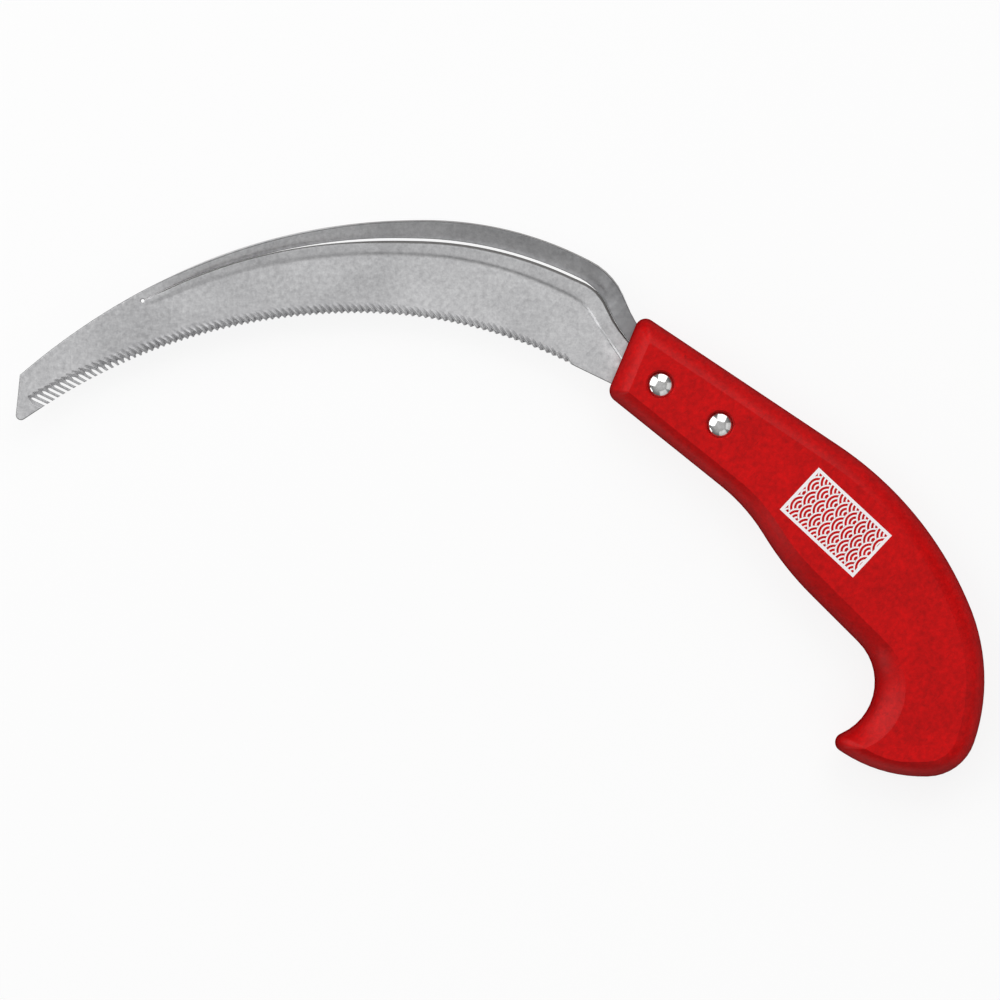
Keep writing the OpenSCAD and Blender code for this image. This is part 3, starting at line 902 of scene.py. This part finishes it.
# %% [markdown]
# ## The rolled lip
#
# A shear rolls the upper corner of its cut over before it parts the metal. So
# the upper points of the lip's wall lean back, away from the slit.

# %% Lean the lip back, and hand the blade over
def lean_lip(made, outwards=Vector((0.5, 0.86)), lean=0.42 * MM):
    sheared = made.faces.layers.float["sheared"]
    shifts = {}
    for face in made.faces:
        if face[sheared] < 1.0 or face.normal.xy @ outwards < 0.2:
            continue
        middle = face.calc_center_median().z
        for vertex in face.verts:
            if vertex.co.z > middle:
                shifts[vertex] = -face.normal.xy.normalized()
    for vertex, way in shifts.items():
        way = way * lean * float(soft_step((vertex.co.x / MM + 115) / 25))
        vertex.co.x += way.x
        vertex.co.y += way.y
    print("lip points leaned back:", len(shifts))


lean_lip(blade_mesh)
finished(blade_mesh, "toothed_blade", "blade", 26, STEEL)

# %% [markdown]
# ## The handle's soft edges
#
# The chamfers were cut with a router and sanded by hand, which leaves them
# slightly round, steepest at the outside. The copy's chamfers are cut into
# narrow bands, and the bands swell outwards along their own normals. A
# chamfer's top and foot are given as millimetres below the flat face.

# %% Swell the chamfers
CHAMFER_TOP, CHAMFER_FOOT = 0.46, 3.13
CHAMFER_CUTS = 5
SWELL = 0.16 * MM


def swollen_handle():
    made = merged_copy("handle")
    top = HALF_THICK - CHAMFER_TOP
    foot = HALF_THICK - CHAMFER_FOOT

    def height(vertex):
        return abs(vertex.co.z / MM - HANDLE_MIDDLE)

    def crosses(edge):
        a, b = sorted(height(v) for v in edge.verts)
        return abs(a - foot) < 0.05 and abs(b - top) < 0.05

    across = [e for e in made.edges if crosses(e)]
    bmesh.ops.subdivide_edges(made, edges=across, cuts=CHAMFER_CUTS, use_grid_fill=True)
    made.normal_update()
    for vertex in made.verts:
        u = (top - height(vertex)) / (top - foot)
        if 0.02 < u < 0.98 and 0.3 < abs(vertex.normal.z) < 0.95:
            vertex.co += vertex.normal * SWELL * 4 * u * (1 - u)
    print("chamfer edges cut:", len(across))
    return made


finished(swollen_handle(), "painted_handle", "handle", 17, PAINT)

# %% [markdown]
# ## The rivets' domes
#
# A rivet's head is pressed to a dome that stands a little proud of the paint.
# One broad patch of it mirrors the windows, the rest the dimmer room, and its
# edge the table. A rather pointed dome keeps that patch to one side. Spinning
# a profile makes it.

# %% Spin a dome
DOME_STEPS = 20
POINTED, ROUND = 0.82, 0.18


def spun_dome(centre, radius, rim, crown):
    """A dome about an upright axis: rather pointed, and rounded off at the rim."""
    made = bmesh.new()
    points = []
    for k in range(DOME_STEPS + 1):
        r = math.sin(k / DOME_STEPS * math.pi / 2)
        fall = POINTED * (1 - r ** 1.85) + ROUND * math.sqrt(max(0.0, 1 - r * r))
        points.append(made.verts.new(centre + Vector((radius * r, 0, rim + (crown - rim) * fall))))
    lines = [made.edges.new(pair) for pair in zip(points, points[1:])]
    bmesh.ops.spin(made, geom=points + lines, cent=centre, axis=(0, 0, 1), steps=96,
                   angle=math.tau, use_merge=True)
    bmesh.ops.remove_doubles(made, verts=made.verts, dist=0.001 * MM)
    dome = bpy.data.meshes.new("dome")
    made.to_mesh(dome)
    made.free()
    return dome


# %% [markdown]
# ## The rivets
#
# The shank, or the tube that it is driven into, comes from the CAD model. Its
# plain head is cut off below the rim, the dome is set a hair above the cut,
# and bridging the two open rims closes the piece. The upper domes stand proud
# of the CAD heads. The lower ones don't, because the sickle lies on that side.

# %% Set the rivet heads
HEAD_DEPTH = 1.05 * MM
HEAD_PROUD = 0.55 * MM
RIM_GAP = 0.03 * MM


def rivet_piece(node, name, outward, proud):
    """The CAD piece with a spun head; outward is 1 for a head on top."""
    made = merged_copy(node)
    low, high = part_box(node)
    centre = Vector(((low[0] + high[0]) / 2, (low[1] + high[1]) / 2, 0))
    face = high[2] if outward > 0 else low[2]
    rim = face - outward * HEAD_DEPTH
    bmesh.ops.bisect_plane(made, geom=made.verts[:] + made.edges[:] + made.faces[:],
                           plane_co=(0, 0, rim), plane_no=(0, 0, outward), clear_outer=True)
    radius = (high[0] - low[0]) / 2
    dome = spun_dome(centre, radius, rim + outward * RIM_GAP, face + outward * proud)
    made.from_mesh(dome)
    bpy.data.meshes.remove(dome)
    bmesh.ops.bridge_loops(made, edges=[e for e in made.edges if e.is_boundary])
    bmesh.ops.recalc_face_normals(made, faces=made.faces)
    print("open edges in", name, sum(e.is_boundary for e in made.edges))
    finished(made, name, node, 40, PLATING)


for place in ("front", "rear"):
    rivet_piece(f"{place}_rivet_cap", f"{place}_cap", 1, HEAD_PROUD)
    rivet_piece(f"{place}_rivet_post", f"{place}_post", -1, 0.0)

# %% [markdown]
# ## One scale of the print
#
# Tools like this carry a white screen printed panel on the grip. This one is
# filled with a traditional wave pattern: rows of scales, each three rings, and
# each row half hidden by the next. Only the part of a ring that shows is spun,
# from where the two scales in front of it let go of it to its other side.

# %% Spin the rings of one scale
PANEL_LONG, PANEL_WIDE = 30.9 * MM, 17.7 * MM
BORDER = 1.0 * MM
INNER_LONG, INNER_WIDE = PANEL_LONG / 2 - BORDER, PANEL_WIDE / 2 - BORDER
SCALE = INNER_WIDE / 2
RINGS = (SCALE, SCALE * 0.68, SCALE * 0.36)
INK_LINE = 0.5 * MM


def shown_from(share):
    """The angle at which a ring comes out from behind the scales in front of it."""
    reach = (share * share + 0.25) / (share * math.sqrt(5))
    return math.acos(min(1.0, reach)) - math.atan(0.5)


def wave_scale():
    """One scale of the pattern: three part rings about the origin."""
    made = bmesh.new()
    for radius in RINGS:
        start = shown_from(radius / SCALE)
        way = Vector((math.cos(start), math.sin(start), 0))
        ends = [made.verts.new(way * r) for r in (radius, radius - INK_LINE)]
        line = made.edges.new(ends)
        bmesh.ops.spin(made, geom=ends + [line], cent=(0, 0, 0), axis=(0, 0, 1), steps=20,
                       angle=math.pi - 2 * start)
    scale = bpy.data.meshes.new("wave_scale")
    made.to_mesh(scale)
    made.free()
    print("one scale:", len(scale.polygons), "faces")
    return scale


# %% [markdown]
# ## The waves and their frame
#
# Copies of the scale are laid in rows, each shifted by half a scale, and four
# cuts trim them to the inside of the frame. The frame is one flat face with
# its middle inset and taken out. All of it is still flat, so slivers that the
# cuts left can be cleaned away before the film gets its thickness.

# %% Lay out the print
def wave_rows(made):
    scale = wave_scale()
    for row in range(-2, math.ceil(4 * INNER_LONG / SCALE) + 1):
        for column in range(-2, 3):
            made.from_mesh(scale)
            made.verts.ensure_lookup_table()
            place = ((column * 2 + row % 2) * SCALE, -INNER_LONG + row * SCALE / 2, 0)
            bmesh.ops.translate(made, verts=made.verts[-len(scale.vertices):], vec=place)
    bpy.data.meshes.remove(scale)
    for way, reach in (((1, 0, 0), INNER_WIDE), ((-1, 0, 0), INNER_WIDE),
                       ((0, 1, 0), INNER_LONG), ((0, -1, 0), INNER_LONG)):
        bmesh.ops.bisect_plane(made, geom=made.verts[:] + made.edges[:] + made.faces[:],
                               plane_co=Vector(way) * reach, plane_no=way, clear_outer=True)


def panel_frame(made):
    rim = bmesh.ops.create_grid(made, x_segments=1, y_segments=1, size=0.5)["verts"]
    bmesh.ops.scale(made, verts=rim, vec=(PANEL_WIDE, PANEL_LONG, 1))
    plate = rim[0].link_faces[0]
    made.normal_update()
    bmesh.ops.inset_region(made, faces=[plate], thickness=BORDER,
                           use_boundary=True, use_even_offset=True)
    bmesh.ops.delete(made, geom=[plate], context="FACES_ONLY")


def clean_flat(made):
    """Takes out slivers and loose points, and turns every face upwards."""
    bmesh.ops.dissolve_degenerate(made, edges=made.edges, dist=0.01 * MM)
    bmesh.ops.delete(made, geom=[v for v in made.verts if not v.link_faces], context="VERTS")
    for face in made.faces:
        if face.normal.z < 0:
            face.normal_flip()


# %% [markdown]
# ## The printed panel
#
# The flat print is extruded to a thin film, turned to the handle's slant, and
# laid on the flat face. A third of the film sinks into the paint, so that no
# gap can show under it.

# %% Print the panel
PANEL_MIDDLE = Vector((45.0, -36.4)) * MM
PANEL_TURN = math.radians(-43)
FILM = 0.03 * MM


def printed_panel():
    made = bmesh.new()
    wave_rows(made)
    panel_frame(made)
    clean_flat(made)
    grown = bmesh.ops.extrude_face_region(made, geom=made.faces[:])["geom"]
    top = [g for g in grown if isinstance(g, bmesh.types.BMVert)]
    bmesh.ops.translate(made, verts=top, vec=(0, 0, FILM))
    bmesh.ops.recalc_face_normals(made, faces=made.faces)
    upright = Matrix.Rotation(PANEL_TURN + math.pi / 2, 3, "Z")
    bmesh.ops.rotate(made, verts=made.verts, matrix=upright)
    level = handle_high[2] - FILM / 3
    bmesh.ops.translate(made, verts=made.verts, vec=(*PANEL_MIDDLE, level))
    print("open edges in the print:", sum(e.is_boundary for e in made.edges))
    finished(made, "wave_panel", None, 30, INK)


printed_panel()

# %% [markdown]
# ## The table
#
# The sickle lies on a white table. To the camera, and in the mirror of the
# metal, most of its white comes from a glow of strength 1, and the rest is lit
# as usual, so that the sickle's soft shadow stays.

# %% Lay the table top
TABLE_GLOW = 0.85
TABLE_GAP = 0.02 * MM


def lay_table():
    made = bmesh.new()
    bmesh.ops.create_grid(made, x_segments=1, y_segments=1, size=8.0)
    bmesh.ops.translate(made, verts=made.verts, vec=(0, 0, cad_low.z - TABLE_GAP))
    mesh = bpy.data.meshes.new("table_top")
    made.to_mesh(mesh)
    made.free()
    table = bpy.data.objects.new("table_top", mesh)
    bpy.context.scene.collection.objects.link(table)
    f = Finish("white_table")
    seen = f.node("ShaderNodeLightPath", out="Is Camera Ray")
    seen = seen + f.node("ShaderNodeLightPath", out="Is Glossy Ray")
    seen = seen + f.node("ShaderNodeLightPath", out="Is Transmission Ray")
    white = f.node("ShaderNodeEmission", {}, {"Color": (1, 1, 1, 1), "Strength": 1.0})
    lit = Wire(f, f.shader.outputs["BSDF"])
    mixed = f.node("ShaderNodeMixShader", {}, {0: seen * TABLE_GLOW, 1: lit, 2: white})
    f.feed(f.tree.nodes["Material Output"].inputs["Surface"], mixed)
    mesh.materials.append(f.shade(Base_Color=(0.92, 0.92, 0.92, 1.0), Roughness=0.8))


lay_table()

# %% [markdown]
# ## The lamps
#
# Large soft lamps to the left and behind light the slopes that face them, and
# the far slopes stay darker. Lamps and sky together come to the plain level at
# which a colour looks as written. Each lamp's place is metres from the middle
# of the view, followed by its side in metres and its glow, where 1 is white.

# %% Set the lamps
MIDDLE = Vector((VIEW_X, VIEW_Y, 0.0))
LAMPS = {
    "left_window": ((-1.25, 0.68, 1.15), 1.55, 1.97),
    "back_window": ((0.42, 1.36, 1.25), 1.55, 1.87),
    "low_left": ((-1.5, -0.8, 0.68), 0.7, 2.6),
    "front_fill": ((0.6, -1.45, 0.98), 1.3, 0.49),
    "right_fill": ((1.6, -0.2, 1.0), 1.2, 0.5)}


def soft_lamp(name, from_, size, glow):
    """A square lamp that looks at the sickle."""
    data = bpy.data.lights.new(name, "AREA")
    data.shape, data.size = "SQUARE", size
    data.energy = glow * math.pi * size * size
    lamp = bpy.data.objects.new(name, data)
    lamp.location = MIDDLE + Vector(from_)
    lamp.rotation_euler = (-Vector(from_)).to_track_quat("-Z", "Y").to_euler()
    bpy.context.scene.collection.objects.link(lamp)
    print(name, "glow", glow)


for name, (from_, size, glow) in LAMPS.items():
    soft_lamp(name, from_, size, glow)

# %% [markdown]
# ## The room
#
# Where no lamp shows, the metal mirrors the room. It is bright overhead and
# dim towards the horizon, which gives the steel and the rivets their dark
# sides. A way's height is 0 at the horizon and 1 straight up, and the room is
# evenly dim up to a height of 0.35.

# %% Light the room
def light_room(floor_glow, ceiling_glow, dim_up_to=0.35):
    """A sky whose strength grows from the floor's glow to the ceiling's."""
    world = bpy.data.worlds.new("room")
    bpy.context.scene.world = world
    world.use_nodes = True
    tree = world.node_tree
    way = tree.nodes.new("ShaderNodeTexCoord")
    split = tree.nodes.new("ShaderNodeSeparateXYZ")
    rise = tree.nodes.new("ShaderNodeMapRange")
    rise.interpolation_type = "SMOOTHSTEP"
    for name, value in (("From Min", dim_up_to), ("From Max", 1.0),
                        ("To Min", floor_glow), ("To Max", ceiling_glow)):
        rise.inputs[name].default_value = value
    tree.links.new(way.outputs["Generated"], split.inputs["Vector"])
    tree.links.new(split.outputs["Z"], rise.inputs["Value"])
    sky = tree.nodes["Background"]
    sky.inputs["Color"].default_value = (1, 1, 1, 1)
    tree.links.new(rise.outputs["Result"], sky.inputs["Strength"])
    print("room glow", floor_glow, "to", ceiling_glow)


light_room(0.1, 0.58)
